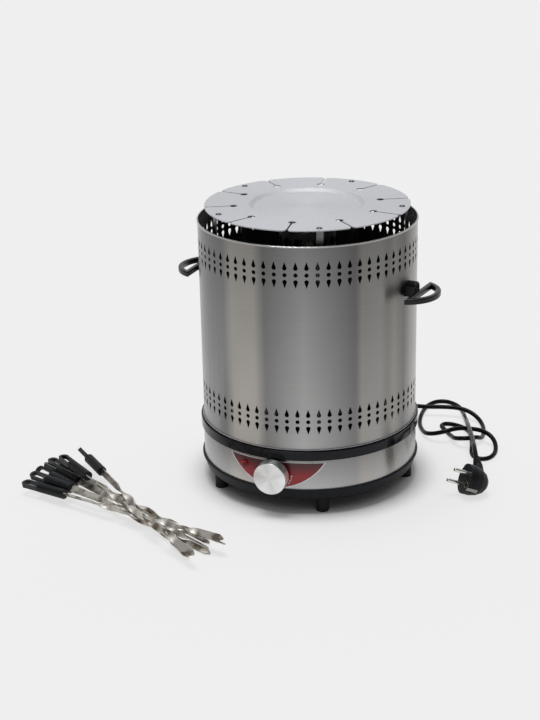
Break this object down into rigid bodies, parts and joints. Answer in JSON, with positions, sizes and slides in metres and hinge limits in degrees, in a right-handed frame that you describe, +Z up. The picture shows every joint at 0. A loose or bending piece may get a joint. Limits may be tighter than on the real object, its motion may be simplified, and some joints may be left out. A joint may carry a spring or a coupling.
{
  "type": "electric skewer grill",
  "caption": "Upright electric grill in a vented steel drum; skewers hang round a central heater and turn in geared sockets, with loose skewers and a mains cord beside it.",
  "frame": {"origin": "on the axis of the drum, in the plane of the soles of the feet", "axes": "+Z up along the axis of the drum, -Y towards the front with the knob, +X to the right of someone who faces the front"},
  "size_m": [0.5429, 0.5518, 0.3431],
  "materials": {
    "casing_steel": "brushed up and down, satin",
    "disc_steel": "satin sheet",
    "inner_steel": "plain zinc-plated sheet",
    "black_enamel": "glossy black enamel",
    "tray_black": "satin black coating",
    "foot_rubber": "matt black",
    "black_plastic": "satin black moulding",
    "knob_aluminium": "spun face, polished side",
    "front_red": "dark red print with a pale outline",
    "lamp_red": "clear red",
    "quartz": "clear",
    "ceramic": "matt white ceramic",
    "coil_wire": "heated resistance wire",
    "gear_plastic": "natural moulding",
    "gear_metal": "cut teeth",
    "plug_black": "satin black",
    "pin_metal": "bright plated",
    "blade_steel": "polished strip",
    "cord_black": "satin black"
  },
  "bodies": {
    "base": {"rubber_feet": "foot_rubber", "bottom_tray": "tray_black", "base_skirt": "casing_steel", "deck_pan": "black_enamel", "top_disc": "disc_steel", "strap_rivets": "disc_steel", "heater_guard": "inner_steel", "heater_socket": "ceramic", "quartz_tube": "quartz", "heater_core": "ceramic", "heater_coil": "coil_wire", "chassis_plate": "inner_steel", "chassis_posts": "inner_steel", "deck_posts": "inner_steel", "frame_screws": "inner_steel", "gear_motor": "inner_steel", "gear_retainer": "inner_steel", "rotary_switch": "black_plastic", "switch_nut": "inner_steel", "control_plate": "front_red", "pilot_lens": "lamp_red", "lamp_housing": "black_plastic", "terminal_block": "gear_plastic", "cord_gland": "black_plastic", "cord": "cord_black", "plug_body": "plug_black", "plug_pins": "pin_metal", "plug_earth_clips": "pin_metal", "support_strap_1": "inner_steel", "support_strap_2": "inner_steel", "support_strap_3": "inner_steel", "support_strap_4": "inner_steel", "support_strap_5": "inner_steel"},
    "casing": {"casing": "casing_steel", "handle_right": "black_plastic", "handle_left": "black_plastic", "handle_screws": "inner_steel"},
    "knob": {"knob_shell": "knob_aluminium", "knob_core": "black_plastic", "switch_shaft": "inner_steel"},
    "ring_gear": {"drive_gear": "gear_plastic"},
    "pinion": {"motor_pinion": "gear_metal"},
    "skewer_socket_01": {"skewer_socket_01": "gear_metal"},
    "skewer_socket_02": {"skewer_socket_02": "gear_metal"},
    "skewer_socket_03": {"skewer_socket_03": "gear_metal"},
    "skewer_socket_04": {"skewer_socket_04": "gear_metal"},
    "skewer_socket_05": {"skewer_socket_05": "gear_metal"},
    "skewer_socket_06": {"skewer_socket_06": "gear_metal"},
    "skewer_socket_07": {"skewer_socket_07": "gear_metal"},
    "skewer_socket_08": {"skewer_socket_08": "gear_metal"},
    "skewer_socket_09": {"skewer_socket_09": "gear_metal"},
    "skewer_socket_10": {"skewer_socket_10": "gear_metal"},
    "skewers": {"skewer_blades": "blade_steel", "skewer_handle_1": "black_plastic", "skewer_handle_2": "black_plastic", "skewer_handle_3": "black_plastic", "skewer_handle_4": "black_plastic", "skewer_handle_5": "black_plastic", "skewer_handle_6": "black_plastic", "skewer_handle_7": "black_plastic"}
  },
  "joints": [
    {"name": "casing_lift", "type": "slide", "parent": "base", "child": "casing", "axis": [0, 0, 1], "range_m": [0, 0.275]},
    {"name": "knob_turn", "type": "hinge", "parent": "base", "child": "knob", "pos_m": [0, -0.143, 0.0505], "axis": [0, -1, 0], "range_deg": [-270, 0]},
    {"name": "ring_gear_spin", "type": "hinge", "parent": "base", "child": "ring_gear", "pos_m": [0, 0, 0.0553], "axis": [0, 0, 1], "continuous": true},
    {"name": "pinion_spin", "type": "hinge", "parent": "base", "child": "pinion", "pos_m": [-0.03526, 0.07459, 0.0553], "axis": [0, 0, 1], "continuous": true},
    {"name": "skewer_socket_01_spin", "type": "hinge", "parent": "base", "child": "skewer_socket_01", "pos_m": [0.01106, -0.08629, 0.08], "axis": [0, 0, 1], "continuous": true},
    {"name": "skewer_socket_02_spin", "type": "hinge", "parent": "base", "child": "skewer_socket_02", "pos_m": [0.05967, -0.06332, 0.08], "axis": [0, 0, 1], "continuous": true},
    {"name": "skewer_socket_03_spin", "type": "hinge", "parent": "base", "child": "skewer_socket_03", "pos_m": [0.08549, -0.01615, 0.08], "axis": [0, 0, 1], "continuous": true},
    {"name": "skewer_socket_04_spin", "type": "hinge", "parent": "base", "child": "skewer_socket_04", "pos_m": [0.07866, 0.03718, 0.08], "axis": [0, 0, 1], "continuous": true},
    {"name": "skewer_socket_05_spin", "type": "hinge", "parent": "base", "child": "skewer_socket_05", "pos_m": [0.04178, 0.07631, 0.08], "axis": [0, 0, 1], "continuous": true},
    {"name": "skewer_socket_06_spin", "type": "hinge", "parent": "base", "child": "skewer_socket_06", "pos_m": [-0.01106, 0.08629, 0.08], "axis": [0, 0, 1], "continuous": true},
    {"name": "skewer_socket_07_spin", "type": "hinge", "parent": "base", "child": "skewer_socket_07", "pos_m": [-0.05967, 0.06332, 0.08], "axis": [0, 0, 1], "continuous": true},
    {"name": "skewer_socket_08_spin", "type": "hinge", "parent": "base", "child": "skewer_socket_08", "pos_m": [-0.08549, 0.01615, 0.08], "axis": [0, 0, 1], "continuous": true},
    {"name": "skewer_socket_09_spin", "type": "hinge", "parent": "base", "child": "skewer_socket_09", "pos_m": [-0.07866, -0.03718, 0.08], "axis": [0, 0, 1], "continuous": true},
    {"name": "skewer_socket_10_spin", "type": "hinge", "parent": "base", "child": "skewer_socket_10", "pos_m": [-0.04178, -0.07631, 0.08], "axis": [0, 0, 1], "continuous": true},
    {"name": "skewers_lift", "type": "slide", "parent": "base", "child": "skewers", "axis": [0, 0, 1], "range_m": [0, 0.1]}
  ],
  "couplings": [
    {"joint": "pinion_spin", "follows": "ring_gear_spin", "ratio": -8.1667},
    {"joint": "skewer_socket_01_spin", "follows": "ring_gear_spin", "ratio": -5.4444},
    {"joint": "skewer_socket_02_spin", "follows": "ring_gear_spin", "ratio": -5.4444},
    {"joint": "skewer_socket_03_spin", "follows": "ring_gear_spin", "ratio": -5.4444},
    {"joint": "skewer_socket_04_spin", "follows": "ring_gear_spin", "ratio": -5.4444},
    {"joint": "skewer_socket_05_spin", "follows": "ring_gear_spin", "ratio": -5.4444},
    {"joint": "skewer_socket_06_spin", "follows": "ring_gear_spin", "ratio": -5.4444},
    {"joint": "skewer_socket_07_spin", "follows": "ring_gear_spin", "ratio": -5.4444},
    {"joint": "skewer_socket_08_spin", "follows": "ring_gear_spin", "ratio": -5.4444},
    {"joint": "skewer_socket_09_spin", "follows": "ring_gear_spin", "ratio": -5.4444},
    {"joint": "skewer_socket_10_spin", "follows": "ring_gear_spin", "ratio": -5.4444}
  ]
}
